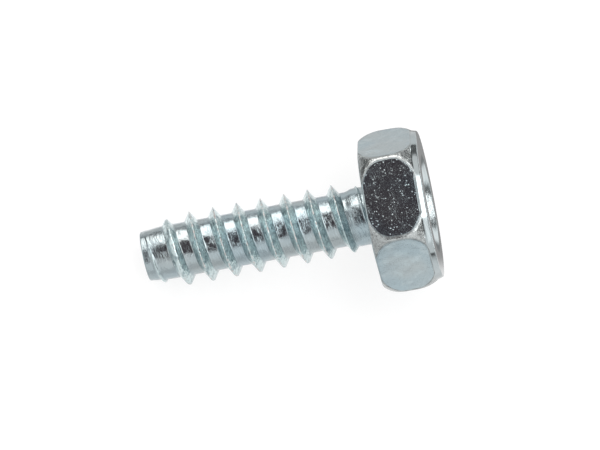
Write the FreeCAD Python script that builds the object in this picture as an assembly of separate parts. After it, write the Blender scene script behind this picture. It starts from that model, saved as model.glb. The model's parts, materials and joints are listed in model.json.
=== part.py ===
"""Sheet metal screw: an indented hexagon head on a short blunt shank with a coarse spaced thread, cold formed
from one piece of steel wire. It lies at rest on its head and on the thread near its tip. All sizes are in
millimetres."""

import FreeCAD
import Part

import math
import os

from FreeCAD import Vector

# Thread: one start, right handed, No. 10
THREAD_PITCH = 1.5875  # 16 turns to the inch
THREAD_MAJOR_D = 4.80
THREAD_ROOT_D = 3.56
THREAD_FLANK_ANGLE = 33.0  # of each flank, from square to the axis
THREAD_CREST_WIDTH = 0.07
THREAD_CREST_AT = -0.34  # height of a crest over the middle of the flat that faces up

# Shank, measured from the bearing face under the head down to the blunt tip
SHANK_LENGTH = 15.2
TIP_D = 3.26
TIP_TAPER_LENGTH = 2.66  # the thread's crest swells to its full size over this length
NECK_D = 3.86
NECK_LENGTH = 0.95
NECK_TAPER_LENGTH = 0.6  # from the thread's root up to the neck
NECK_FLARE_WIDTH = 0.18  # of the neck where it meets the head, out and down
THREAD_FADE_START = 2.05  # below the bearing face, where the crest starts to sink
THREAD_FADE_END = 0.20  # where the crest has sunk to the neck

# Head: six flats pressed into a barrel, which leaves its round collar whole at the top
HEAD_ACROSS_FLATS = 9.55
HEAD_HEIGHT = 3.96
COLLAR_HEIGHT = 0.38
COLLAR_PROUD = 0.19  # of the flats, at its foot
COLLAR_DRAFT = 14.0  # lean of its side from there in to the rim
COLLAR_EDGE_BREAK = 0.12
BARREL_PROUD = 0.66  # of the flats, at its belly
BELLY_FROM = 1.50  # the barrel is straight from here up to its shoulder
SHOULDER_FROM = 2.20
UNDER_EDGE_PROUD = 0.10  # of the flats, where the barrel meets the bearing face
UNDER_EDGE_BREAK_HEIGHT = 0.10
UNDER_EDGE_BREAK_WIDTH = 0.14

# Indentation in the head's top
DISH_D = 6.60
DISH_FLOOR_D = 4.60
DISH_DEPTH = 0.75
DISH_EDGE_BREAK = 0.14

# Allowance by which construction solids run past the faces that they cut or join
OVERRUN = 0.5
THREAD_FLANK_SINK = 0.15  # of the ridge's foot, below the root

THREAD_MAJOR_R = THREAD_MAJOR_D / 2
THREAD_ROOT_R = THREAD_ROOT_D / 2
NECK_R = NECK_D / 2
TIP_R = TIP_D / 2
FLAT_R = HEAD_ACROSS_FLATS / 2
COLLAR_R = FLAT_R + COLLAR_PROUD
COLLAR_FROM = HEAD_HEIGHT - COLLAR_HEIGHT
RIM_R = COLLAR_R - COLLAR_HEIGHT * math.tan(math.radians(COLLAR_DRAFT))
BARREL_R = FLAT_R + BARREL_PROUD
UNDER_EDGE_R = FLAT_R + UNDER_EDGE_PROUD
FULL_TURN = 360.0


def at(radius, height):
    """The point of a profile at this radius and height, in the half plane from which profiles are revolved."""
    return Vector(radius, 0, height)


def line(start, end):
    """The straight edge between two points of a profile."""
    return Part.LineSegment(start, end).toShape()


def arc(start, middle, end):
    """The circular edge through three points of a profile."""
    return Part.Arc(start, middle, end).toShape()


def turned(edges):
    """The solid that a closed profile sweeps in one full turn about the screw's axis."""
    return Part.Face(Part.Wire(edges)).revolve(Vector(0, 0, 0), Vector(0, 0, 1), FULL_TURN)


def form(corners):
    """The solid turned from a profile of straight lines through these corners."""
    return turned([line(a, b) for a, b in zip(corners, corners[1:] + corners[:1])])


def shank_core():
    """The shank without its thread, run past its tip: root cylinder, tapered rise to the neck, and its flare."""
    inside = BELLY_FROM
    past_tip = -SHANK_LENGTH - OVERRUN
    return form(
        [
            at(0, past_tip),
            at(THREAD_ROOT_R, past_tip),
            at(THREAD_ROOT_R, -NECK_LENGTH - NECK_TAPER_LENGTH),
            at(NECK_R, -NECK_LENGTH),
            at(NECK_R, -NECK_FLARE_WIDTH),
            at(NECK_R + NECK_FLARE_WIDTH, 0),
            at(NECK_R + NECK_FLARE_WIDTH, inside),
            at(0, inside),
        ]
    )


def crest_form():
    """What the thread's crest fills, run past the tip: a cylinder, and the cone in which it fades at the neck."""
    slope = (THREAD_MAJOR_R - NECK_R) / (THREAD_FADE_START - THREAD_FADE_END)
    inside_r = NECK_R - slope * THREAD_FADE_END
    past_tip = -SHANK_LENGTH - OVERRUN
    return form(
        [
            at(0, past_tip),
            at(THREAD_MAJOR_R, past_tip),
            at(THREAD_MAJOR_R, -THREAD_FADE_START),
            at(inside_r, 0),
            at(0, 0),
        ]
    )


def tip_form():
    """What the pointed shank fills: flat blunt end, tapered tip, and all the room above it."""
    slope = (THREAD_MAJOR_R - TIP_R) / TIP_TAPER_LENGTH
    wide = BARREL_R + OVERRUN
    return form(
        [
            at(0, -SHANK_LENGTH),
            at(TIP_R, -SHANK_LENGTH),
            at(wide, -SHANK_LENGTH + (wide - TIP_R) / slope),
            at(wide, HEAD_HEIGHT + OVERRUN),
            at(0, HEAD_HEIGHT + OVERRUN),
        ]
    )


def ridge_profile():
    """Outline of the thread's ridge in the plane of the axis: two flanks that meet over the crest.

    The crest form cuts their sharp top back to the crest. The ridge reaches below the root, into the core."""
    lean = math.tan(math.radians(THREAD_FLANK_ANGLE))
    top_r = THREAD_MAJOR_R + THREAD_CREST_WIDTH / 2 / lean
    foot_r = THREAD_ROOT_R - THREAD_FLANK_SINK
    half = (top_r - foot_r) * lean
    points = [at(foot_r, -half), at(top_r, 0), at(foot_r, half)]
    return Part.makePolygon(points + points[:1])


def helix(start, turns):
    """The thread's path, one edge a turn, from a height on."""
    edges = []
    for turn in range(turns):
        path = Part.makeHelix(THREAD_PITCH, THREAD_PITCH, THREAD_ROOT_R)
        path.translate(Vector(0, 0, start + turn * THREAD_PITCH))
        edges += path.Edges
    return Part.Wire(edges)


def thread_ridge():
    """The thread: its ridge swept along the helix past both ends of the shank, and cut back to its crest."""
    turns_down = math.ceil((SHANK_LENGTH + OVERRUN + THREAD_CREST_AT) / THREAD_PITCH)
    start = THREAD_CREST_AT - turns_down * THREAD_PITCH
    profile = ridge_profile()
    profile.translate(Vector(0, 0, start))
    sweep = helix(start, turns_down + 1).makePipeShell([profile], True, True)
    return sweep.common(crest_form())


def barrel_arc(edge_r, edge_height, belly_height):
    """The profile edge between the barrel's belly, where it stands upright, and an edge of smaller radius."""
    rise = belly_height - edge_height
    drop = BARREL_R - edge_r
    arc_r = (rise**2 + drop**2) / (2 * drop)
    middle = at(BARREL_R - arc_r + math.sqrt(arc_r**2 - (rise / 2) ** 2), edge_height + rise / 2)
    return arc(at(edge_r, edge_height), middle, at(BARREL_R, belly_height))


def head_blank():
    """The head before its flats are pressed: a barrel, its collar, and the dish in its top."""
    top = HEAD_HEIGHT
    dish_r, floor_r = DISH_D / 2, DISH_FLOOR_D / 2
    wall_run = DISH_EDGE_BREAK * (dish_r - floor_r) / DISH_DEPTH
    side_run = COLLAR_EDGE_BREAK * (COLLAR_R - RIM_R) / COLLAR_HEIGHT
    corners = [
        at(COLLAR_R, COLLAR_FROM),
        at(RIM_R + side_run, top - COLLAR_EDGE_BREAK),
        at(RIM_R - COLLAR_EDGE_BREAK, top),
        at(dish_r + DISH_EDGE_BREAK, top),
        at(dish_r - wall_run, top - DISH_EDGE_BREAK),
        at(floor_r, top - DISH_DEPTH),
        at(0, top - DISH_DEPTH),
        at(0, 0),
        at(UNDER_EDGE_R, 0),
    ]
    edges = [
        barrel_arc(UNDER_EDGE_R, 0, BELLY_FROM),
        line(at(BARREL_R, BELLY_FROM), at(BARREL_R, SHOULDER_FROM)),
        barrel_arc(COLLAR_R, COLLAR_FROM, SHOULDER_FROM),
    ]
    return turned(edges + [line(a, b) for a, b in zip(corners, corners[1:])])


def hexagon(across_flats, height):
    """A level hexagon with this width across its flats, one of which looks along X."""
    corner_r = across_flats / 2 / math.cos(math.radians(30))
    turns = [math.radians(30 + 60 * side) for side in range(7)]
    return Part.makePolygon([Vector(corner_r * math.cos(a), corner_r * math.sin(a), height) for a in turns])


def flats_form():
    """The form that the head is pressed in: a hexagon with a broken under edge, and open round the collar."""
    narrow = HEAD_ACROSS_FLATS - 2 * UNDER_EDGE_BREAK_WIDTH
    under = Part.makeLoft([hexagon(narrow, 0), hexagon(HEAD_ACROSS_FLATS, UNDER_EDGE_BREAK_HEIGHT)], True, True)
    height = COLLAR_FROM - UNDER_EDGE_BREAK_HEIGHT
    flats = Part.Face(hexagon(HEAD_ACROSS_FLATS, UNDER_EDGE_BREAK_HEIGHT)).extrude(Vector(0, 0, height))
    above = Part.makeCylinder(BARREL_R + OVERRUN, COLLAR_HEIGHT + OVERRUN, Vector(0, 0, COLLAR_FROM))
    return under.fuse([flats, above])


def tip_radius(height):
    """Outside radius of the threaded shank at a height: tapered at the tip, and full above it."""
    share = (height + SHANK_LENGTH) / TIP_TAPER_LENGTH
    return min(THREAD_MAJOR_R, TIP_R + (THREAD_MAJOR_R - TIP_R) * share)


def screw_upright():
    """The whole screw with its axis upright, head up, and its bearing face at height zero."""
    shank = shank_core().fuse(thread_ridge()).common(tip_form())
    head = head_blank().common(flats_form())
    return head.fuse(shank).removeSplitter()


def resting_tilt():
    """How far the axis dips towards the tip when the screw lies on a flat of its head, in degrees.

    The screw then stands on the under edge of that flat and on a turn of its crest, or on its tip."""
    lowest_crest = THREAD_CREST_AT - THREAD_PITCH / 2
    turns = range(math.ceil(SHANK_LENGTH / THREAD_PITCH))
    crests = [lowest_crest - turn * THREAD_PITCH for turn in turns]
    touching = [(tip_radius(z), z) for z in crests if z > -SHANK_LENGTH]
    touching.append((TIP_R, -SHANK_LENGTH))
    edge = UNDER_EDGE_BREAK_HEIGHT
    return min(math.degrees(math.atan2(FLAT_R - r, edge - z)) for r, z in touching)


def laid_down(upright):
    """The screw as it lies: axis along X, head towards +X, tip dipped to the ground, centred over the origin."""
    lying = upright.copy()
    lying.rotate(Vector(0, 0, 0), Vector(0, 0, 1), FULL_TURN / 2)
    lying.rotate(Vector(0, 0, 0), Vector(0, 1, 0), 90 - resting_tilt())
    box = lying.optimalBoundingBox(False, False)
    lying.translate(Vector(-box.Center.x, -box.Center.y, -box.ZMin))
    return lying


def main():
    """Builds the screw and writes it as one part."""
    os.makedirs("parts", exist_ok=True)
    screw = laid_down(screw_upright())
    screw.exportStep("parts/screw.step")
    print("resting tilt", round(resting_tilt(), 3))


main()
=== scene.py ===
"""The sheet metal screw as it looks: one plated piece laid on its frame, on a pale studio floor.

Lengths are metres if nothing else is said. The screw is shaped upright, head up, with its bearing face at
height zero and the middle of the flat that will face up towards +X. It is then laid down where the frame's
mounts say.
"""

import json
import logging
import math
from dataclasses import dataclass, field
from enum import Enum
from typing import Any, Sequence

import bmesh
import bpy
from mathutils import Matrix, Vector, noise

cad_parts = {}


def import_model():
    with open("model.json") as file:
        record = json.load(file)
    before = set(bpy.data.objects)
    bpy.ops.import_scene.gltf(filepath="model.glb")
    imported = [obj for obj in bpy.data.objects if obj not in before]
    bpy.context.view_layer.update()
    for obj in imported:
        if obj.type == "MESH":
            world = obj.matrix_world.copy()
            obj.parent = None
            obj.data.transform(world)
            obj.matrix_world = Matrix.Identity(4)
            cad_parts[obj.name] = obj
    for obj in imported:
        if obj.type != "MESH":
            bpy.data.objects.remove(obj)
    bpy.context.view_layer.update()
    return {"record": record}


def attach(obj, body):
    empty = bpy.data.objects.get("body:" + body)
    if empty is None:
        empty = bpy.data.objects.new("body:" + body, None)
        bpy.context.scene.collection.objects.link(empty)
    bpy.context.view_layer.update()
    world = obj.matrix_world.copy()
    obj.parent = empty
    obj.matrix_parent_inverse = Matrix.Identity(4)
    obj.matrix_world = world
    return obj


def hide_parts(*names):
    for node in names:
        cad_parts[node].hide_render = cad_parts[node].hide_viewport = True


MM = 0.001
FULL_TURN = math.tau
MERGE_DISTANCE = 0.0005 * MM
DEGREE = math.radians(1.0)
UP = Vector((0.0, 0.0, 1.0))

# Angles of a profile's arcs, in degrees from straight outward
OUTWARD, UPWARD, INWARD, DOWNWARD = 0.0, 90.0, 180.0, -90.0

Point = tuple[float, float]
Colour = tuple[float, float, float, float]
Mesh = bmesh.types.BMesh
Ring = list[bmesh.types.BMEdge]
Socket = bpy.types.NodeSocket
Given = Socket | float | Colour

WHITE: Colour = (1.0, 1.0, 1.0, 1.0)
BLACK: Colour = (0.0, 0.0, 0.0, 1.0)

log = logging.getLogger("screw")


class Layer(Enum):
    """Values that the screw's mesh carries at its vertices, for its material to read."""

    FLAT = "pressed_flat"
    RIDGE = "thread_ridge"
    BARREL = "formed_barrel"
    PUNCHED = "punched_rim"


def soft_min(a: float, b: float, reach: float) -> float:
    """The smaller of two values, rounded where they differ by less than reach."""
    near = max(reach - abs(a - b), 0.0) / reach
    return min(a, b) - near * near * reach / 4


def smooth(low: float, high: float, value: float) -> float:
    """A smooth rise from 0 at low to 1 at high."""
    share = min(max((value - low) / (high - low), 0.0), 1.0)
    return share * share * (3 - 2 * share)


def arc(centre: Point, radius: float, start: float, end: float, steps: int) -> list[Point]:
    """Points along a circular arc of a profile.

    Args:
        centre: Radius and height of the arc's centre.
        radius: The arc's own radius.
        start: Angle of its first point, in degrees from straight outward.
        end: Angle of its last point.
        steps: How many equal steps it takes.

    Returns:
        Its points, both ends included.
    """
    angles = [math.radians(start + (end - start) * k / steps) for k in range(steps + 1)]
    return [(centre[0] + radius * math.cos(a), centre[1] + radius * math.sin(a)) for a in angles]


def run(start: Point, end: Point, steps: int) -> list[Point]:
    """Points along a straight stretch of a profile, without its first."""
    shares = [k / steps for k in range(1, steps + 1)]
    return [(start[0] + (end[0] - start[0]) * s, start[1] + (end[1] - start[1]) * s) for s in shares]


def profile_edges(mesh: Mesh, points: Sequence[Point]) -> list[Any]:
    """Lays a profile into a mesh, in the half plane through +X.

    Args:
        mesh: The mesh that receives it.
        points: Radius and height of each point.

    Returns:
        Its vertices and edges, as an operator's geometry.
    """
    verts = [mesh.verts.new((radius, 0.0, height)) for radius, height in points]
    edges = [mesh.edges.new(pair) for pair in zip(verts, verts[1:])]
    return verts + edges


def open_ring(mesh: Mesh, place: Vector, outward: Vector) -> Ring:
    """The open edges that lie in a plane, given by a point of it and the way out of it."""
    near = 2 * MERGE_DISTANCE
    ends = [(edge, [vert.co - place for vert in edge.verts]) for edge in mesh.edges if edge.is_boundary]
    return [edge for edge, reach in ends if all(abs(end.dot(outward)) < near for end in reach)]


def into_scene(name: str, mesh: Mesh, material: bpy.types.Material) -> bpy.types.Object:
    """Turns a built mesh into an object of the scene."""
    data = bpy.data.meshes.new(name)
    mesh.to_mesh(data)
    mesh.free()
    data.materials.append(material)
    made = bpy.data.objects.new(name, data)
    bpy.context.scene.collection.objects.link(made)
    return made


@dataclass
class Head:
    """The indented hexagon head: a barrel with six pressed flats, a round collar and a dished top."""

    across_flats: float = 9.55 * MM
    height: float = 3.96 * MM
    neck_d: float = 3.86 * MM
    neck_fillet: float = 0.19 * MM
    under_edge_proud: float = 0.10 * MM
    under_round: float = 0.11 * MM
    under_draw: float = 0.14 * MM
    barrel_proud: float = 0.68 * MM
    belly_from: float = 1.50 * MM
    shoulder_from: float = 2.20 * MM
    collar_height: float = 0.38 * MM
    collar_proud: float = 0.19 * MM
    collar_lean: float = 14.0
    collar_round: float = 0.11 * MM
    collar_fillet: float = 0.13 * MM
    flat_round: float = 0.11 * MM
    flat_mask: Point = (-0.3, 0.7)
    dish_d: float = 6.60 * MM
    dish_floor_d: float = 4.60 * MM
    dish_depth: float = 0.75 * MM
    dish_round: float = 0.16 * MM
    dish_floor_round: float = 0.5 * MM
    dent_depth: float = 0.010 * MM
    dent_size: float = 0.9 * MM
    flats: int = 6
    side_steps: int = 72
    corner_gather: float = 0.62
    lower_steps: int = 26
    upper_steps: int = 22
    bearing_steps: int = 9
    collar_steps: int = 8
    fillet_steps: int = 7
    run_steps: int = 6

    @property
    def flat_r(self) -> float:
        """Distance of a flat from the axis."""
        return self.across_flats / 2

    @property
    def under_edge_r(self) -> float:
        """Radius at which the barrel meets the bearing face."""
        return self.flat_r + self.under_edge_proud

    @property
    def collar_from(self) -> float:
        """Height at which the collar starts."""
        return self.height - self.collar_height

    @property
    def fillet_r(self) -> float:
        """Radius at which the neck's fillet runs out on the bearing face."""
        return self.neck_d / 2 + self.neck_fillet

    def barrel_points(self, edge: Point, belly_height: float, steps: int) -> list[Point]:
        """The barrel's arc between an edge of smaller radius and its upright belly, from the edge on."""
        belly_r = self.flat_r + self.barrel_proud
        rise = belly_height - edge[1]
        drop = belly_r - edge[0]
        radius = (rise * rise + drop * drop) / (2 * drop)
        lean = math.degrees(math.asin(rise / radius))
        return arc((belly_r - radius, belly_height), radius, -lean, OUTWARD, steps)

    def outside(self) -> list[Point]:
        """The barrel and its collar, from the bearing face up to the rim."""
        belly_r = self.flat_r + self.barrel_proud
        collar_r = self.flat_r + self.collar_proud
        lower = self.barrel_points((self.under_edge_r, 0.0), self.belly_from, self.lower_steps)
        belly = run((belly_r, self.belly_from), (belly_r, self.shoulder_from), self.run_steps)
        upper = self.barrel_points((collar_r, self.collar_from), self.shoulder_from, self.upper_steps)
        lean = math.radians(self.collar_lean)
        side_height = self.collar_height - self.collar_round
        centre_r = collar_r - side_height * math.tan(lean) - self.collar_round / math.cos(lean)
        centre = (centre_r, self.height - self.collar_round)
        edge = arc(centre, self.collar_round, self.collar_lean, UPWARD, self.collar_steps)
        side = run((collar_r, self.collar_from), edge[0], self.run_steps)
        return lower + belly + upper[::-1][1:] + side + edge[1:]

    def indentation(self, start: Point) -> list[Point]:
        """The rim's flat top, the dish's rounded lip, its wall and its floor, from the rim's edge inward."""
        dish_r, floor_r = self.dish_d / 2, self.dish_floor_d / 2
        slope = math.degrees(math.atan2(self.dish_depth, dish_r - floor_r))
        bend = math.tan(math.radians(slope / 2))
        centre = (dish_r + self.dish_round * bend, self.height - self.dish_round)
        lip = arc(centre, self.dish_round, UPWARD, UPWARD + slope, self.fillet_steps)
        floor_height = self.height - self.dish_depth
        centre = (floor_r - self.dish_floor_round * bend, floor_height + self.dish_floor_round)
        foot = arc(centre, self.dish_floor_round, DOWNWARD + slope, DOWNWARD, self.fillet_steps)
        rim = run(start, lip[0], self.run_steps)
        wall = run(lip[-1], foot[0], self.run_steps)
        floor = run(foot[-1], (0.0, floor_height), self.run_steps)
        return rim + lip[1:] + wall + foot[1:] + floor

    def profile(self) -> list[Point]:
        """The head's whole profile, from the neck's fillet out round the head to the axis on its top."""
        centre = (self.fillet_r, -self.neck_fillet)
        fillet = arc(centre, self.neck_fillet, INWARD, UPWARD, self.fillet_steps)
        bearing = run(fillet[-1], (self.under_edge_r, 0.0), self.bearing_steps)
        outside = self.outside()
        return fillet + bearing + outside[1:] + self.indentation(outside[-1])

    def form_r(self, height: float) -> float:
        """How far from the axis the pressing form stands at the middle of a flat, at a height."""
        low = max(1 - height / self.under_round, 0.0)
        drawn_in = self.under_draw * (1 - math.sqrt(max(1 - low * low, 0.0)))
        up = min(max((height - self.collar_from) / self.collar_fillet + 1, 0.0), 1.0)
        drawn_out = self.collar_fillet * (1 - math.sqrt(1 - up * up))
        return self.flat_r - drawn_in + drawn_out

    def pressed(self, radius: float, angle: float, height: float) -> tuple[float, float]:
        """Where the flats' form leaves a point of the barrel.

        Args:
            radius: The point's distance from the axis before.
            angle: Its turn about the axis.
            height: Its height.

        Returns:
            Its distance from the axis after, and how much it lies on a flat, from 0 to 1.
        """
        side = FULL_TURN / self.flats
        off_middle = (angle + side / 2) % side - side / 2
        limit = self.form_r(height) / math.cos(off_middle)
        if height <= 0.0:
            edge = soft_min(self.under_edge_r, limit, self.flat_round)
            spread = (radius - self.fillet_r) / (self.under_edge_r - self.fillet_r)
            return self.fillet_r + spread * (edge - self.fillet_r), 0.0
        if height > self.collar_from:
            return radius, 0.0
        low, high = (share * self.flat_round for share in self.flat_mask)
        return soft_min(radius, limit, self.flat_round), smooth(low, high, radius - limit)

    def turn_sides(self, mesh: Mesh) -> None:
        """Turns the profile through one side of the hexagon, and copies that side round the axis."""
        side = FULL_TURN / self.flats
        first = profile_edges(mesh, self.profile())
        swept = {"cent": (0, 0, 0), "axis": (0, 0, 1), "angle": side, "steps": self.side_steps}
        before = set(mesh.verts) - set(first)
        bmesh.ops.spin(mesh, geom=first, use_merge=False, **swept)
        verts = [v for v in mesh.verts if v not in before]
        faces = {f for v in verts for f in v.link_faces}
        edges = {e for v in verts for e in v.link_edges}
        added = list(verts)
        for turn in range(1, self.flats):
            copy = bmesh.ops.duplicate(mesh, geom=[*verts, *edges, *faces])["geom"]
            copied = [g for g in copy if isinstance(g, bmesh.types.BMVert)]
            turned = Matrix.Rotation(turn * side, 3, "Z")
            bmesh.ops.rotate(mesh, verts=copied, cent=(0, 0, 0), matrix=turned)
            added += copied
        bmesh.ops.remove_doubles(mesh, verts=added, dist=MERGE_DISTANCE)

    def build(self, mesh: Mesh) -> Ring:
        """Turns the head's profile and presses its flats.

        Args:
            mesh: The mesh that receives the head.

        Returns:
            The edges of the ring where the head meets the neck.
        """
        before = set(mesh.verts)
        self.turn_sides(mesh)
        flat = mesh.verts.layers.float[Layer.FLAT.value]
        barrel = mesh.verts.layers.float[Layer.BARREL.value]
        punched = mesh.verts.layers.float[Layer.PUNCHED.value]
        outside_r = self.dish_d / 2 + self.dish_round
        for vert in (v for v in mesh.verts if v not in before):
            radius = math.hypot(vert.co.x, vert.co.y)
            if radius < MERGE_DISTANCE:
                continue
            angle = math.atan2(vert.co.y, vert.co.x)
            angle += self.corner_gather / self.flats * math.sin(self.flats * angle)
            on_bearing = abs(vert.co.z) < MERGE_DISTANCE and radius > self.fillet_r
            height = 0.0 if on_bearing else vert.co.z
            if on_bearing or (height > 0.0 and radius > outside_r):
                wave = noise.noise(Vector((angle * self.flat_r, 0.0, height)) / self.dent_size)
                radius, vert[flat] = self.pressed(radius, angle, height)
                vert[barrel] = smooth(0.0, 1.0, 1 - vert[flat]) * smooth(0.0, self.under_round, height)
                radius += self.dent_depth * wave * vert[barrel]
            in_dish = radius < outside_r and vert.co.z > MERGE_DISTANCE
            if in_dish or vert.co.z > self.collar_from - self.collar_fillet / 2:
                vert[barrel], vert[punched] = 0.0, 1.0
            vert.co = Vector((radius * math.cos(angle), radius * math.sin(angle), vert.co.z))
        return open_ring(mesh, -self.neck_fillet * UP, UP)


@dataclass
class Shank:
    """The threaded shank: a core with its neck, the rolled ridge that winds round it, and the blunt tip."""

    length: float = 15.2 * MM
    pitch: float = 1.5875 * MM
    major_d: float = 4.80 * MM
    root_d: float = 3.56 * MM
    flank_angle: float = 33.0
    crest_round: float = 0.042 * MM
    foot_round: float = 0.10 * MM
    crest_at: float = -0.34 * MM
    tip_d: float = 3.26 * MM
    tip_taper: float = 2.66 * MM
    tip_round: float = 0.09 * MM
    tip_lean: float = 1.8
    neck_d: float = 3.86 * MM
    neck_length: float = 0.95 * MM
    neck_taper: float = 0.60 * MM
    fade_start: float = 2.05 * MM
    fade_end: float = 0.28 * MM
    neck_cut: float = 0.20 * MM
    sunk_foot: float = 0.10 * MM
    tip_blend: float = 0.05 * MM
    core_taper: float = 1.30 * MM
    run_in_from: float = 0.45 * MM
    run_in: float = 1.75 * MM
    turn_steps: int = 144
    spare_turns: int = 2
    crest_steps: int = 3
    flank_steps: int = 4
    foot_steps: int = 4
    root_steps: int = 3
    tip_edge_steps: int = 5
    tip_face_steps: int = 6
    tip_face_hole: float = 0.2

    @property
    def ridge_height(self) -> float:
        """Height of the full ridge over the root."""
        return (self.major_d - self.root_d) / 2

    def ridge_side(self) -> list[Point]:
        """Height and offset of one side of the ridge, from its crest down to the middle of the root."""
        normal = UPWARD - self.flank_angle
        centre = (self.ridge_height - self.crest_round, 0.0)
        crest = arc(centre, self.crest_round, OUTWARD, normal, self.crest_steps)
        lean = math.tan(math.radians(self.flank_angle))
        foot = crest[-1][1] + crest[-1][0] * lean
        run_out = foot + self.foot_round * math.tan(math.radians(normal / 2))
        fillet = arc((self.foot_round, run_out), self.foot_round, INWARD + normal, INWARD, self.foot_steps)
        flank = run(crest[-1], fillet[0], self.flank_steps)
        root = run(fillet[-1], (0.0, self.pitch / 2), self.root_steps)
        return crest + flank + fillet[1:] + root

    def turn_profile(self, middle: float) -> list[Point]:
        """The core's outline over one pitch, with the ridge's crest at a height."""
        root_r = self.root_d / 2
        side = self.ridge_side()
        below = [(root_r + height, middle - offset) for height, offset in side[::-1]]
        above = [(root_r + height, middle + offset) for height, offset in side[1:]]
        return below + above

    def untipped_r(self, height: float) -> float:
        """Radius of the root, and of the neck over it."""
        root_r, neck_r = self.root_d / 2, self.neck_d / 2
        rise = smooth(-self.neck_length - self.neck_taper, -self.neck_length, height)
        return root_r + (neck_r - root_r) * rise

    def core_r(self, height: float) -> float:
        """Radius of the shank without its thread."""
        share = (height + self.length) / self.core_taper
        tapered = self.tip_d / 2 + (self.root_d - self.tip_d) / 2 * share
        return soft_min(self.untipped_r(height), tapered, self.tip_blend)

    def tip_r(self, height: float) -> float:
        """Radius of the cone that bounds the tip."""
        share = (height + self.length) / self.tip_taper
        return self.tip_d / 2 + (self.major_d - self.tip_d) / 2 * share

    def crest_r(self, height: float) -> float:
        """Radius that the thread's crest reaches: full, rising out of the tip, and sinking into the neck."""
        major_r, neck_r, root_r = self.major_d / 2, self.neck_d / 2, self.root_d / 2
        fade = (-height - self.fade_end) / (self.fade_start - self.fade_end)
        rise = max((height + self.length - self.run_in_from) / self.run_in, 0.0)
        return min(major_r, neck_r + (major_r - neck_r) * fade, root_r + (major_r - root_r) * rise)

    def shaped(self, radius: float, angle: float, height: float) -> tuple[float, float]:
        """Where a point of the endless thread lies on this shank.

        Args:
            radius: The point's distance from the axis on the endless thread.
            angle: Its turn about the axis.
            height: Its height.

        Returns:
            Its distance from the axis, and its share of the full ridge's height.
        """
        wound = height - self.crest_at - self.pitch * angle / FULL_TURN
        offset = (wound + self.pitch / 2) % self.pitch - self.pitch / 2
        crest = height - offset
        sunk = max(self.untipped_r(crest) + self.ridge_height - self.crest_r(crest), 0.0)
        ridge = radius - self.root_d / 2 - sunk
        if sunk > MERGE_DISTANCE:
            ridge = -soft_min(-ridge, 0.0, min(self.sunk_foot, sunk))
        core = self.core_r(height)
        ridge = min(ridge, max(soft_min(core + ridge, self.tip_r(height), self.tip_blend) - core, 0.0))
        return core + ridge, ridge / self.ridge_height

    def endless_thread(self, mesh: Mesh) -> None:
        """Winds one turn of the thread and stacks copies of it past both ends of the shank."""
        turns = math.ceil(self.length / self.pitch) + self.spare_turns
        start = self.crest_at - (turns - 1) * self.pitch
        rise = self.pitch / self.turn_steps
        bmesh.ops.spin(
            mesh,
            geom=profile_edges(mesh, self.turn_profile(start)),
            cent=(0, 0, 0),
            axis=(0, 0, 1),
            dvec=(0, 0, rise),
            angle=FULL_TURN,
            steps=self.turn_steps,
            use_merge=False,
        )
        one_turn = mesh.verts[:] + mesh.edges[:] + mesh.faces[:]
        for turn in range(1, turns + 1):
            copy = bmesh.ops.duplicate(mesh, geom=one_turn)["geom"]
            verts = [g for g in copy if isinstance(g, bmesh.types.BMVert)]
            bmesh.ops.translate(mesh, verts=verts, vec=(0, 0, turn * self.pitch))
        bmesh.ops.remove_doubles(mesh, verts=mesh.verts, dist=MERGE_DISTANCE)

    def cut(self, mesh: Mesh, place: Vector, outward: Vector) -> Ring:
        """Cuts the shank off along a plane.

        Args:
            mesh: The shank's mesh.
            place: A point of the plane.
            outward: The side of the plane that is thrown away.

        Returns:
            The edges of the open ring that is left.
        """
        everything = mesh.verts[:] + mesh.edges[:] + mesh.faces[:]
        bmesh.ops.bisect_plane(
            mesh, geom=everything, dist=MERGE_DISTANCE, plane_co=place, plane_no=outward, clear_outer=True
        )
        return open_ring(mesh, place, outward)

    def close_tip(self, mesh: Mesh, ring: Ring, outward: Vector) -> None:
        """Rounds the tip's edge and closes its face, ring by ring."""
        tip_r = self.tip_d / 2
        centre = (tip_r - self.tip_round, 0.0)
        rounded = arc(centre, self.tip_round, OUTWARD, UPWARD, self.tip_edge_steps)[1:]
        inward = run(rounded[-1], (self.tip_face_hole * tip_r, self.tip_round), self.tip_face_steps)
        radius, reach = tip_r, 0.0
        for next_r, next_reach in rounded + inward:
            extruded = bmesh.ops.extrude_edge_only(mesh, edges=ring)["geom"]
            verts = [g for g in extruded if isinstance(g, bmesh.types.BMVert)]
            ring = [g for g in extruded if isinstance(g, bmesh.types.BMEdge)]
            shrink = next_r / radius
            bmesh.ops.scale(mesh, verts=verts, vec=(shrink, shrink, 1.0))
            bmesh.ops.translate(mesh, verts=verts, vec=outward * (next_reach - reach))
            radius, reach = next_r, next_reach
        bmesh.ops.edgeloop_fill(mesh, edges=ring)

    def build(self, mesh: Mesh) -> Ring:
        """Winds the thread, shapes it to the shank, and cuts and closes its tip.

        Args:
            mesh: An empty mesh with the screw's layers.

        Returns:
            The edges of the ring where the shank meets the head.
        """
        self.endless_thread(mesh)
        ridge = mesh.verts.layers.float[Layer.RIDGE.value]
        for vert in mesh.verts:
            angle = math.atan2(vert.co.y, vert.co.x)
            radius, vert[ridge] = self.shaped(math.hypot(vert.co.x, vert.co.y), angle, vert.co.z)
            vert.co = Vector((radius * math.cos(angle), radius * math.sin(angle), vert.co.z))
        lean = math.radians(self.tip_lean)
        down = Vector((0.0, math.sin(lean), -math.cos(lean)))
        tip_ring = self.cut(mesh, (self.tip_round - self.length) * UP, down)
        self.close_tip(mesh, tip_ring, down)
        return self.cut(mesh, -self.neck_cut * UP, UP)


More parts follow.
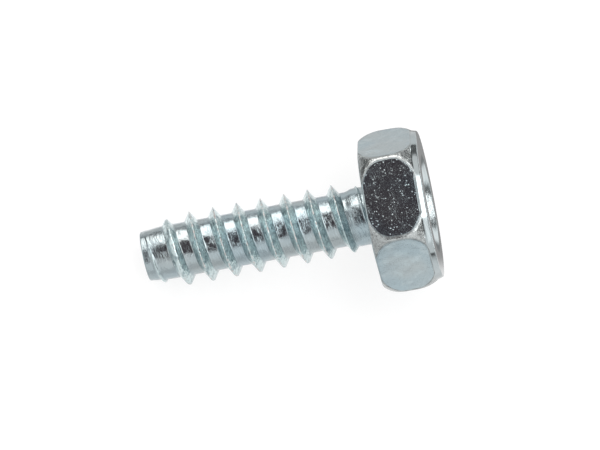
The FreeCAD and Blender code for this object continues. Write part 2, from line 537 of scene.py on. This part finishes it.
class Graph:
    """A node tree that is built in code, one short call a node."""

    def __init__(self, tree: bpy.types.NodeTree) -> None:
        """Starts on an empty tree."""
        self.tree = tree
        tree.nodes.clear()

    @classmethod
    def of(cls, shown: Any) -> "Graph":
        """Starts on the nodes of a material or a world."""
        shown.use_nodes = True
        return cls(shown.node_tree)

    @classmethod
    def group(cls, name: str, given: Sequence[str], made: Sequence[str]) -> tuple["Graph", Any, Any]:
        """Starts a node group that takes a vector and plain values.

        Args:
            name: The group's name.
            given: Names of the values that it takes besides its vector.
            made: Names of the values that it puts out.

        Returns:
            Its graph, what its input node puts out, and what its output node takes.
        """
        tree = bpy.data.node_groups.new(name, "ShaderNodeTree")
        tree.interface.new_socket("Vector", in_out="INPUT", socket_type="NodeSocketVector")
        for names, side in ((given, "INPUT"), (made, "OUTPUT")):
            for value in names:
                tree.interface.new_socket(value, in_out=side, socket_type="NodeSocketFloat")
        return cls(tree), tree.nodes.new("NodeGroupInput").outputs, tree.nodes.new("NodeGroupOutput").inputs

    def node(self, kind: str, given: dict[Any, Given] | None = None, **settings: Any) -> bpy.types.Node:
        """Adds a node.

        Args:
            kind: The node's type, without the words that all types start with.
            given: What its inputs take, by their name or number.
            **settings: Its properties by name.

        Returns:
            The node.
        """
        made = self.tree.nodes.new("ShaderNode" + kind)
        for name, value in settings.items():
            setattr(made, name, value)
        for name, value in (given or {}).items():
            self.feed(made.inputs[name], value)
        return made

    def feed(self, socket: Socket, value: Given) -> None:
        """Links a socket to an output, or sets it to a plain value."""
        if isinstance(value, Socket):
            self.tree.links.new(value, socket)
        else:
            socket.default_value = value

    def math(self, operation: str, *values: Given, clamp: bool = False) -> Socket:
        """The result of a Math node on these values."""
        return self.node("Math", dict(enumerate(values)), operation=operation, use_clamp=clamp).outputs[0]

    def times(self, *values: Given) -> Given:
        """The product of these values."""
        product = values[0]
        for value in values[1:]:
            product = self.math("MULTIPLY", product, value)
        return product

    def add(self, base: Given, value: Given, share: Given = 1.0) -> Socket:
        """The base with a share of a value on top."""
        return self.math("MULTIPLY_ADD", value, share, base)

    def dot(self, vector: Socket, axis: Vector) -> Socket:
        """How far a vector reaches along an axis."""
        return self.node("VectorMath", {0: vector, 1: axis}, operation="DOT_PRODUCT").outputs["Value"]

    def ramp(self, value: Given, low: float, high: float, least: float = 0.0, most: float = 1.0) -> Socket:
        """A smooth change from the least to the most as a value goes from low to high."""
        given = {"Value": value, "From Min": low, "From Max": high, "To Min": least, "To Max": most}
        return self.node("MapRange", given, interpolation_type="SMOOTHSTEP").outputs["Result"]

    def between(self, value: Given, edges: Sequence[float], soft: float) -> Socket:
        """1 where a value lies between two edges, 0 outside, with a change of this width at each."""
        low, high = edges
        half = soft / 2
        rise = self.ramp(value, low - half, low + half)
        return self.times(rise, self.ramp(value, high + half, high - half))

    def mix(self, factor: Given, first: Given, second: Given) -> Socket:
        """A blend of two colours."""
        made = self.node("Mix", {"Factor": factor, "A": first, "B": second}, data_type="RGBA")
        return next(s for s in made.outputs if s.type == "RGBA")


@dataclass(frozen=True)
class Grain:
    """Even noise from about -1 to 1, with lumps of about this size in millimetres."""

    size: float
    detail: float = 2.0
    name: str = "grain"
    spread: float = 2.0

    def group(self) -> bpy.types.ShaderNodeTree:
        """The node group that all grain shares, built on its first use."""
        if self.name in bpy.data.node_groups:
            return bpy.data.node_groups[self.name]
        graph, given, made = Graph.group(self.name, ("Size", "Detail"), ("Value",))
        scale = graph.math("DIVIDE", 1.0, given["Size"])
        noisy = graph.node("TexNoise", {"Vector": given["Vector"], "Scale": scale, "Detail": given["Detail"]})
        graph.feed(made["Value"], graph.add(-self.spread, noisy.outputs[0], 2 * self.spread))
        return graph.tree

    def value(self, graph: Graph, place: Socket) -> Socket:
        """The noise at a place."""
        given = {"Vector": place, "Size": self.size, "Detail": self.detail}
        return graph.node("Group", given, node_tree=self.group()).outputs[0]


@dataclass(frozen=True)
class Relief:
    """Grain that raises and sinks a value by about this much."""

    grain: Grain
    height: float

    def on(self, graph: Graph, place: Socket, base: Given = 0.0) -> Socket:
        """The base with this relief on top."""
        return graph.add(base, self.grain.value(graph, place), self.height)


@dataclass(frozen=True)
class Mottle:
    """Patches where grain is high: none where it is under its low value, and the most over its high one."""

    grain: Grain
    low: float
    high: float
    most: float = 1.0

    def mask(self, graph: Graph, place: Socket) -> Socket:
        """How much of a patch lies at a place."""
        return graph.ramp(self.grain.value(graph, place), self.low, self.high, most=self.most)


@dataclass(frozen=True)
class Hairlines:
    """A few thin curved scratches, most of them across the head. Sizes are millimetres."""

    course: Grain = Grain(1.3, 0.0)
    drawn_out: tuple[float, float, float] = (1.0, 0.38, 1.0)
    width: float = 0.026
    depth: float = 0.002
    kept: Mottle = Mottle(Grain(0.6, 1.0), 0.15, 0.5)

    def mask(self, graph: Graph, place: Socket) -> Socket:
        """1 on the scratches, which follow where their grain is 0."""
        drawn = graph.node("VectorMath", {0: place, 1: self.drawn_out}, operation="MULTIPLY")
        line = graph.math("ABSOLUTE", self.course.value(graph, drawn.outputs["Vector"]))
        return graph.times(graph.ramp(line, self.width, 0.0), self.kept.mask(graph, place))


@dataclass(frozen=True)
class Pits:
    """Small dents that handling leaves, in some cells of a random grid, as shares of its spacing."""

    spacing: float = 0.125
    share: float = 0.38
    smallest: float = 0.13
    widest: float = 0.38
    small_bias: float = 2.0
    shallowest: float = 0.08
    steepest: float = 0.66
    shallow_bias: float = 1.6
    rim: float = 0.04

    def group(self) -> bpy.types.ShaderNodeTree:
        """Builds the node group, which works in millimetres."""
        graph, given, made = Graph.group("pits", ("Spacing",), ("Height", "Inside"))
        scale = graph.math("DIVIDE", 1.0, given["Spacing"])
        cells = graph.node("TexVoronoi", {"Vector": given["Vector"], "Scale": scale}, feature="F1")
        there, small, shallow = graph.node("SeparateColor", {0: cells.outputs["Color"]}).outputs
        small = graph.math("POWER", small, self.small_bias)
        shallow = graph.math("POWER", shallow, self.shallow_bias)
        size = graph.ramp(small, 0.0, 1.0, self.smallest, self.widest)
        slope = graph.ramp(shallow, 0.0, 1.0, self.shallowest, self.steepest)
        reach = graph.math("MAXIMUM", graph.math("SUBTRACT", size, cells.outputs["Distance"]), 0.0)
        reach = graph.times(reach, graph.math("LESS_THAN", there, self.share))
        graph.feed(made["Height"], graph.times(reach, given["Spacing"], graph.times(slope, -1.0)))
        graph.feed(made["Inside"], graph.math("GREATER_THAN", reach, self.rim))
        return graph.tree


class Zone(Enum):
    """What the finish tells apart on the surface."""

    FLAT = "pressed flat"
    EDGE = "outline of a flat"
    BARREL = "what the flats leave of the barrel"
    PUNCHED = "collar, rim and dish"
    SHANK = "neck, thread and tip"
    RIDGE = "ridge of the thread"
    CREST = "crest of the ridge"
    PIT = "pit on a flat"
    SCRATCH = "scratch on a flat"


Weights = tuple[tuple[Zone, float], ...]


@dataclass(frozen=True)
class Surface:
    """What the nodes know of a point: its place, the marks on it, and how far it is in each zone."""

    graph: Graph
    place: Socket
    wound: Socket
    patches: Socket
    pit_height: Socket
    zones: dict[Zone, Socket]

    def weighted(self, weights: Weights, base: Given = 0.0) -> Given:
        """The base with each zone's weight added in that zone."""
        for zone, weight in weights:
            base = self.graph.add(base, self.zones[zone], weight)
        return base


@dataclass(frozen=True)
class ZincPlate:
    """Bright zinc plating with a blue passivation over cold formed steel. Lengths are millimetres."""

    name: str = "zinc_plate"
    blue: Colour = (0.365, 0.450, 0.485, 1.0)
    straw: Colour = (0.408, 0.463, 0.476, 1.0)
    bare: Colour = (0.465, 0.495, 0.495, 1.0)
    # The ridge's colour: partly the plating's own teal tint, partly painted light, lighter than the head's
    # plating so that the flanks read brighter.
    thread: Colour = (0.620, 0.730, 0.740, 1.0)
    cloud: Colour = (0.445, 0.525, 0.550, 1.0)
    teal: Colour = (0.350, 0.450, 0.475, 1.0)
    pink: Colour = (0.680, 0.650, 0.640, 1.0)
    dark_tone: Colour = (0.13, 0.13, 0.13, 1.0)
    to_straw: Mottle = Mottle(Grain(2.6, 1.0), -0.7, 0.7)
    to_teal: Mottle = Mottle(Grain(0.38), -0.1, 0.75)
    to_pink: Mottle = Mottle(Grain(0.25, 3.0), -0.3, 0.5)
    to_cloud: Mottle = Mottle(Grain(0.8), 0.0, 0.9, most=0.9)
    to_bare: Weights = ((Zone.BARREL, 1.0), (Zone.PUNCHED, 0.6))
    specks: Mottle = Mottle(Grain(0.16, 4.0), 0.05, 0.75)
    specked: Weights = ((Zone.BARREL, 0.6), (Zone.FLAT, 0.14), (Zone.RIDGE, 0.4))
    stains: Mottle = Mottle(Grain(0.8), 0.15, 0.7, most=0.4)
    patches: Mottle = Mottle(Grain(0.5, 1.0), -0.4, 0.5)
    most_dark_tone: float = 0.7
    fine: Relief = Relief(Grain(0.06), 0.0027)
    swell: Relief = Relief(Grain(0.9, 1.0), 0.012)
    ironed: Weights = ((Zone.PUNCHED, -0.8),)
    pits: Pits = Pits()
    pitted: Weights = ((Zone.FLAT, 1.0), (Zone.BARREL, 0.9), (Zone.RIDGE, 0.7), (Zone.CREST, 1.8))
    scratches: Hairlines = Hairlines()
    pressed: Relief = Relief(Grain(0.20, 3.0), 0.012)
    grained: Weights = ((Zone.BARREL, 1.0), (Zone.CREST, 1.2), (Zone.RIDGE, 0.8))
    streaks: Relief = Relief(Grain(0.10, 3.0), 0.0125)
    streak_stretch: float = 0.22
    faintest_streaks: float = 0.3
    streaked: Weights = ((Zone.SHANK, 1.0), (Zone.PUNCHED, 0.1))
    roughness: float = 0.11
    uneven: Relief = Relief(Grain(0.7), 0.02)
    rougher: Weights = (
        (Zone.FLAT, 0.04),
        (Zone.BARREL, 0.04),
        (Zone.PUNCHED, -0.04),
        (Zone.EDGE, 0.39),
        (Zone.PIT, 0.1),
        (Zone.SCRATCH, 0.25),
    )
    ridge_rise: Point = (0.02, 0.2)
    crest_rise: Point = (0.85, 0.97)
    edge_gain: float = 3.2

    def own_place(self, graph: Graph, laid: Matrix) -> Socket:
        """The place on the upright screw, in millimetres."""
        given = {
            "Vector": graph.node("TexCoord").outputs["Object"],
            "Location": laid.translation,
            "Rotation": laid.to_euler(),
            "Scale": (MM, MM, MM),
        }
        return graph.node("Mapping", given, vector_type="TEXTURE").outputs[0]

    def wound_place(self, graph: Graph, place: Socket, pitch: float) -> Socket:
        """The place as if the thread were unrolled: across its winding, along it in short, and out."""
        x, y, z = graph.node("SeparateXYZ", {0: place}).outputs
        angle = graph.math("ARCTAN2", y, x)
        radius = graph.math("SQRT", graph.add(graph.times(x, x), y, y))
        across = graph.add(z, angle, -pitch / FULL_TURN)
        along = graph.times(angle, radius, self.streak_stretch)
        return graph.node("CombineXYZ", {0: across, 1: along, 2: radius}).outputs[0]

    def surface(self, graph: Graph, laid: Matrix, pitch: float) -> Surface:
        """Reads the screw's layers and lays out pits, scratches and patches.

        Args:
            graph: The material's nodes.
            laid: How the upright screw was laid down.
            pitch: The thread's pitch.

        Returns:
            What the rest of the finish is built on.
        """
        place = self.own_place(graph, laid)
        read = {layer: graph.node("Attribute", attribute_name=layer.value).outputs["Fac"] for layer in Layer}
        flat, ridge = read[Layer.FLAT], read[Layer.RIDGE]
        head = graph.add(graph.add(flat, read[Layer.BARREL]), read[Layer.PUNCHED])
        given = {"Vector": place, "Spacing": self.pits.spacing}
        pits = graph.node("Group", given, node_tree=self.pits.group())
        zones = {
            Zone.FLAT: flat,
            Zone.EDGE: graph.times(flat, graph.math("SUBTRACT", 1.0, flat), self.edge_gain),
            Zone.BARREL: read[Layer.BARREL],
            Zone.PUNCHED: read[Layer.PUNCHED],
            Zone.SHANK: graph.math("SUBTRACT", 1.0, head, clamp=True),
            Zone.RIDGE: graph.ramp(ridge, *self.ridge_rise),
            Zone.CREST: graph.ramp(ridge, *self.crest_rise),
            Zone.PIT: graph.times(pits.outputs["Inside"], flat),
            Zone.SCRATCH: graph.times(self.scratches.mask(graph, place), flat),
        }
        wound = self.wound_place(graph, place, pitch)
        return Surface(graph, place, wound, self.patches.mask(graph, place), pits.outputs["Height"], zones)

    def height(self, at: Surface) -> Socket:
        """The relief: fine noise and slow swells, pits and scratches, pressed grain and rolled streaks."""
        graph = at.graph
        height = self.swell.on(graph, at.place, self.fine.on(graph, at.place))
        height = graph.times(height, at.weighted(self.ironed, 1.0))
        height = graph.add(height, at.pit_height, at.weighted(self.pitted))
        height = graph.add(height, at.zones[Zone.SCRATCH], -self.scratches.depth)
        height = graph.add(height, self.pressed.on(graph, at.place), at.weighted(self.grained))
        shown = graph.add(self.faintest_streaks, at.patches, 1 - self.faintest_streaks)
        streaks = graph.times(self.streaks.on(graph, at.wound), shown)
        return graph.add(height, streaks, at.weighted(self.streaked))

    def colour(self, at: Surface) -> Socket:
        """The plating's tint, with dark specks, darker patches along the flats' outlines and stains in the
        dish, and a ridge colour that is partly painted light.
        """
        graph, place, zones = at.graph, at.place, at.zones
        tint = graph.mix(self.to_straw.mask(graph, place), self.blue, self.straw)
        tint = graph.mix(graph.times(self.to_cloud.mask(graph, place), zones[Zone.FLAT]), tint, self.cloud)
        # Painted light in part: the ridge takes the lighter thread colour, which brightens its flanks.
        ridge = graph.mix(self.to_teal.mask(graph, place), self.thread, self.teal)
        ridge = graph.mix(graph.times(zones[Zone.CREST], self.to_pink.mask(graph, place)), ridge, self.pink)
        colour = graph.mix(zones[Zone.RIDGE], tint, ridge)
        colour = graph.mix(at.weighted(self.to_bare), colour, self.bare)
        dull = graph.times(self.specks.mask(graph, place), at.weighted(self.specked))
        # Darker in patches along the flats' outlines.
        dull = graph.math("MAXIMUM", dull, graph.times(zones[Zone.EDGE], at.patches))
        stains = graph.times(self.stains.mask(graph, at.wound), zones[Zone.PUNCHED])
        dull = graph.math("MAXIMUM", dull, stains)
        return graph.mix(graph.times(dull, self.most_dark_tone), colour, self.dark_tone)

    def material(self, laid: Matrix, pitch: float) -> bpy.types.Material:
        """Builds the material.

        Args:
            laid: How the upright screw was laid down.
            pitch: The thread's pitch.

        Returns:
            The material.
        """
        made = bpy.data.materials.new(self.name)
        graph = Graph.of(made)
        at = self.surface(graph, laid, pitch)
        given = {
            "Metallic": 1.0,
            "Base Color": self.colour(at),
            "Roughness": at.weighted(self.rougher, self.uneven.on(graph, at.place, self.roughness)),
            "Normal": graph.node("Bump", {"Distance": MM, "Height": self.height(at)}).outputs[0],
        }
        graph.node("OutputMaterial", {"Surface": graph.node("BsdfPrincipled", given).outputs[0]})
        return made


@dataclass
class Screw:
    """The whole screw, one piece of plated steel."""

    name: str = "plated_screw"
    node: str = "screw"
    slot: str = "zinc_plated_steel"
    body: str = "root"
    head: Head = field(default_factory=Head)
    shank: Shank = field(default_factory=Shank)
    finish: ZincPlate = field(default_factory=ZincPlate)

    @staticmethod
    def laid(record: dict[str, Any]) -> Matrix:
        """The turn and place that lay the upright screw down, from the record's mounts."""
        mounts = {mount["name"]: mount for mount in record["mounts"]}
        up = -Vector(mounts["bearing_face"]["axis"]).normalized()
        flat = Vector(mounts["wrench_flat"]["axis"])
        front = (flat - up * flat.dot(up)).normalized()
        turn = Matrix((front, up.cross(front), up)).transposed().to_4x4()
        return Matrix.Translation(mounts["bearing_face"]["pos_m"]) @ turn

    def build(self, record: dict[str, Any]) -> bpy.types.Object:
        """Models the screw, lays it down and dresses it.

        Args:
            record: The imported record, which holds the mounts.

        Returns:
            The screw's object.
        """
        mesh = bmesh.new()
        for layer in Layer:
            mesh.verts.layers.float.new(layer.value)
        neck = self.shank.build(mesh)
        bearing = self.head.build(mesh)
        bmesh.ops.bridge_loops(mesh, edges=neck + bearing)
        bmesh.ops.transform(mesh, matrix=self.laid(record), verts=mesh.verts)
        bmesh.ops.recalc_face_normals(mesh, faces=mesh.faces)
        for face in mesh.faces:
            face.smooth = True
        material = self.finish.material(self.laid(record), self.shank.pitch / MM)
        piece = into_scene(self.name, mesh, material)
        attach(piece, self.body)
        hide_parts(self.node)
        return piece


@dataclass
class PhotoCamera:
    """The camera of the photograph, which looks down on the screw."""

    name: str = "photo_camera"
    azimuth: float = -29.2783
    elevation: float = 78.0420
    roll: float = 20.2632
    distance: float = 380.833 * MM
    target: Vector = field(default_factory=lambda: Vector((0.0, 0.0, 5.0 * MM)))
    aim_right: float = 0.4346 * MM
    aim_up: float = 0.0235 * MM
    focal_length: float = 348.49
    clip: tuple[float, float] = (0.01, 10.0)

    def axes(self) -> tuple[Vector, Vector, Vector]:
        """The picture's right and up, and the way back to the camera."""
        azimuth, elevation, roll = (math.radians(a) for a in (self.azimuth, self.elevation, self.roll))
        back = Vector(
            (
                math.cos(elevation) * math.sin(azimuth),
                -math.cos(elevation) * math.cos(azimuth),
                math.sin(elevation),
            )
        )
        level = Vector((math.cos(azimuth), math.sin(azimuth), 0.0))
        up = back.cross(level)
        right = math.cos(roll) * level + math.sin(roll) * up
        return right, back.cross(right), back

    def build(self) -> None:
        """Places the camera and makes it the scene's own."""
        right, up, back = self.axes()
        place = self.target + back * self.distance
        aim = self.target + right * self.aim_right + up * self.aim_up
        toward = (place - aim).normalized()
        side = up.cross(toward).normalized()
        data = bpy.data.cameras.new(self.name)
        data.lens = self.focal_length
        data.clip_start, data.clip_end = self.clip
        camera = bpy.data.objects.new(self.name, data)
        bpy.context.scene.collection.objects.link(camera)
        turn = Matrix((side, toward.cross(side), toward)).transposed().to_4x4()
        camera.matrix_world = Matrix.Translation(place) @ turn
        bpy.context.scene.camera = camera


@dataclass(frozen=True)
class Patch:
    """A patch of what the metal mirrors, with soft edges, set out across the picture's screw and along it."""

    across: tuple[float, float]
    along: tuple[float, float]
    strength: float
    soft: float = 6.0

    def shown(self, graph: Graph, across: Socket, along: Socket, unit: float) -> Socket:
        """How much of the patch a ray meets.

        Args:
            graph: The nodes of the world or the floor.
            across: Where the ray goes, across the screw and down the picture.
            along: Where it goes along the picture, from the tip to the head.
            unit: The unit of the patch's own numbers.

        Returns:
            1 inside the patch and 0 outside.
        """
        sides = ((across, self.across), (along, self.along))
        masks = [graph.between(way, [e * unit for e in edges], self.soft * unit) for way, edges in sides]
        return graph.times(*masks)


@dataclass(frozen=True)
class Card(Patch):
    """A card or soft box of the studio, placed in degrees round the screw from the camera."""

    hue: tuple[float, float, float] = (1.0, 1.0, 1.0)

    def over(self, graph: Graph, light: Given, turned: Socket, tilted: Socket) -> Socket:
        """The light with this card in front, by a ray's turn round the screw and its tilt to the head."""
        colour = tuple(share * self.strength for share in self.hue) + (1.0,)
        return graph.mix(self.shown(graph, turned, tilted, DEGREE), light, colour)


@dataclass(frozen=True)
class PaintedFloorLight(Patch):
    """A patch of painted light on the floor, painted shadow where it is dark, which only mirrored rays see,
    placed in millimetres.
    """

    soft: float = 3.0

    def over(self, graph: Graph, light: Socket, aside: Socket, ahead: Socket) -> Socket:
        """The floor's painted light with this painted patch on it, by the place across the screw and along
        it.
        """
        shown = self.shown(graph, aside, ahead, MM)
        return graph.add(graph.times(graph.math("SUBTRACT", 1.0, shown), light), shown, self.strength)


@dataclass(frozen=True)
class Directions:
    """The picture's directions: to its camera, from the screw's tip to its head, and down across it."""

    view: Vector
    along: Vector
    below: Vector


@dataclass
class Studio:
    """A floor and a sky that are white to the camera, with the light and the dark that the metal mirrors:
    lamps in the sky, painted light and painted shadow on the floor.
    """

    floor_size: float = 2.0
    surroundings: Colour = WHITE
    cards: tuple[Card, ...] = (
        Card(across=(-120, -70), along=(-80, -26), strength=0.10, soft=8),
        Card(across=(-42, 29), along=(-28, 6), strength=0.06, hue=(1.25, 0.95, 1.1)),
        Card(across=(-87, -47), along=(-24, 12), strength=3, soft=5, hue=(1.0, 0.95, 0.92)),
        Card(across=(-48, 22), along=(12, 44), strength=3),
        Card(across=(22, 60), along=(8, 20), strength=1.6, soft=5),
        Card(across=(-60, 95), along=(-90, -28), strength=0.88),
        Card(across=(-50, 12), along=(-85, -38), strength=1.3),
        Card(across=(-110, -60), along=(37, 48), strength=0.35),
        Card(across=(-90, 58), along=(46, 90), strength=0.08),
        Card(across=(-140, -88), along=(12, 60), strength=0.15, soft=8),
    )
    paper: float = 0.27
    paper_glow: float = 0.79
    # The painted light that mirrored rays see on the floor fades from near to far, a painted falloff.
    painted_light_near: float = 0.88
    painted_light_far: float = 0.16
    near: float = 25.0 * MM
    far: float = 95.0 * MM
    # Painted light and painted shadow on the floor for mirrored rays; the dark patches beside the shank and
    # in front of the head's end are a painted shadow of the screw.
    painted_floor_patches: tuple[PaintedFloorLight, ...] = (
        PaintedFloorLight(across=(-1, 7), along=(-14, 5), strength=0.95),
        PaintedFloorLight(across=(-4.3, 0.5), along=(-16, 4), strength=1.15, soft=1),
        PaintedFloorLight(across=(-8.5, -4.9), along=(-16, 9), strength=0.70, soft=1),
        PaintedFloorLight(across=(-90, -17), along=(-60, -6), strength=0.10, soft=4),
        PaintedFloorLight(across=(-60, -20), along=(2, 25), strength=0.95, soft=5),
        PaintedFloorLight(across=(8, 13), along=(-14, 3), strength=0.62),
        PaintedFloorLight(across=(9, 60), along=(4, 16), strength=1.08),
        PaintedFloorLight(across=(-16, -9), along=(-14, 4), strength=0.98),
        PaintedFloorLight(across=(-8, 3.5), along=(8, 13.2), strength=0.34, soft=1.5),
        PaintedFloorLight(across=(4.5, 7), along=(8, 14), strength=0.85, soft=1.5),
        PaintedFloorLight(across=(-8, 8), along=(13.8, 19.5), strength=1.45, soft=1.5),
        PaintedFloorLight(across=(-20, 20), along=(22, 38), strength=0.25),
        PaintedFloorLight(across=(-70, 70), along=(45, 900), strength=3.2, soft=8),
    )

    def paper_material(self, way: Directions) -> bpy.types.Material:
        """The floor's paper, which takes a real shadow and glows evenly to the camera, and shows painted
        light and painted shadow to mirrored rays alone.
        """
        material = bpy.data.materials.new("floor_paper")
        graph = Graph.of(material)
        path = graph.node("LightPath").outputs
        camera, glossy = path["Is Camera Ray"], path["Is Glossy Ray"]
        place = graph.node("NewGeometry").outputs["Position"]
        aside, ahead = graph.dot(place, way.below), graph.dot(place, way.along)
        distance = graph.node("VectorMath", {0: place}, operation="LENGTH").outputs["Value"]
        # Painted light on the floor for mirrored rays: a fade with distance, then each painted patch over it.
        painted_light = graph.ramp(distance, self.near, self.far, self.painted_light_near, self.painted_light_far)
        for patch in self.painted_floor_patches:
            painted_light = patch.over(graph, painted_light, aside, ahead)
        strength = graph.add(graph.times(glossy, painted_light), camera, self.paper_glow)
        matt = (self.paper, self.paper, self.paper, 1.0)
        paper = graph.node("BsdfDiffuse", {"Color": graph.mix(glossy, matt, BLACK)})
        glow = graph.node("Emission", {"Strength": strength})
        both = graph.node("AddShader", {0: paper.outputs[0], 1: glow.outputs[0]})
        graph.node("OutputMaterial", {"Surface": both.outputs[0]})
        return material

    def floor(self, way: Directions) -> None:
        """Lays the floor under the screw."""
        mesh = bmesh.new()
        bmesh.ops.create_grid(mesh, x_segments=1, y_segments=1, size=self.floor_size / 2)
        plane = into_scene("floor", mesh, self.paper_material(way))

    def sky(self, way: Directions) -> None:
        """White to the camera, and a soft studio with its cards round the screw to every other ray."""
        world = bpy.data.worlds.new("studio")
        bpy.context.scene.world = world
        graph = Graph.of(world)
        ray = graph.node("TexCoord").outputs["Generated"]
        turned = graph.math("ARCTAN2", graph.dot(ray, way.below), graph.dot(ray, way.view))
        tilted = graph.math("ARCSINE", graph.dot(ray, way.along))
        light: Given = self.surroundings
        for card in self.cards:
            light = card.over(graph, light, turned, tilted)
        camera = graph.node("LightPath").outputs["Is Camera Ray"]
        background = graph.node("Background", {"Color": graph.mix(camera, light, WHITE)})
        graph.node("OutputWorld", {"Surface": background.outputs[0]})

    def build(self, view: Vector, axis: Vector) -> None:
        """Sets up the floor and the light, from the way to the camera and the screw's own axis."""
        along = (axis - view * axis.dot(view)).normalized()
        way = Directions(view, along, along.cross(view))
        self.floor(way)
        self.sky(way)
        bpy.context.scene.view_settings.view_transform = "Standard"


def main() -> None:
    """Builds the screw on its frame, the studio and the camera."""
    logging.basicConfig(level=logging.INFO, format="%(name)s: %(message)s")
    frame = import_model()
    piece = Screw().build(frame["record"])
    log.info("%s has %d faces", piece.name, len(piece.data.polygons))
    camera = PhotoCamera()
    camera.build()
    view = camera.axes()[-1]
    Studio().build(view, Screw.laid(frame["record"]).to_3x3() @ UP)


if __name__ == "__main__":
    main()
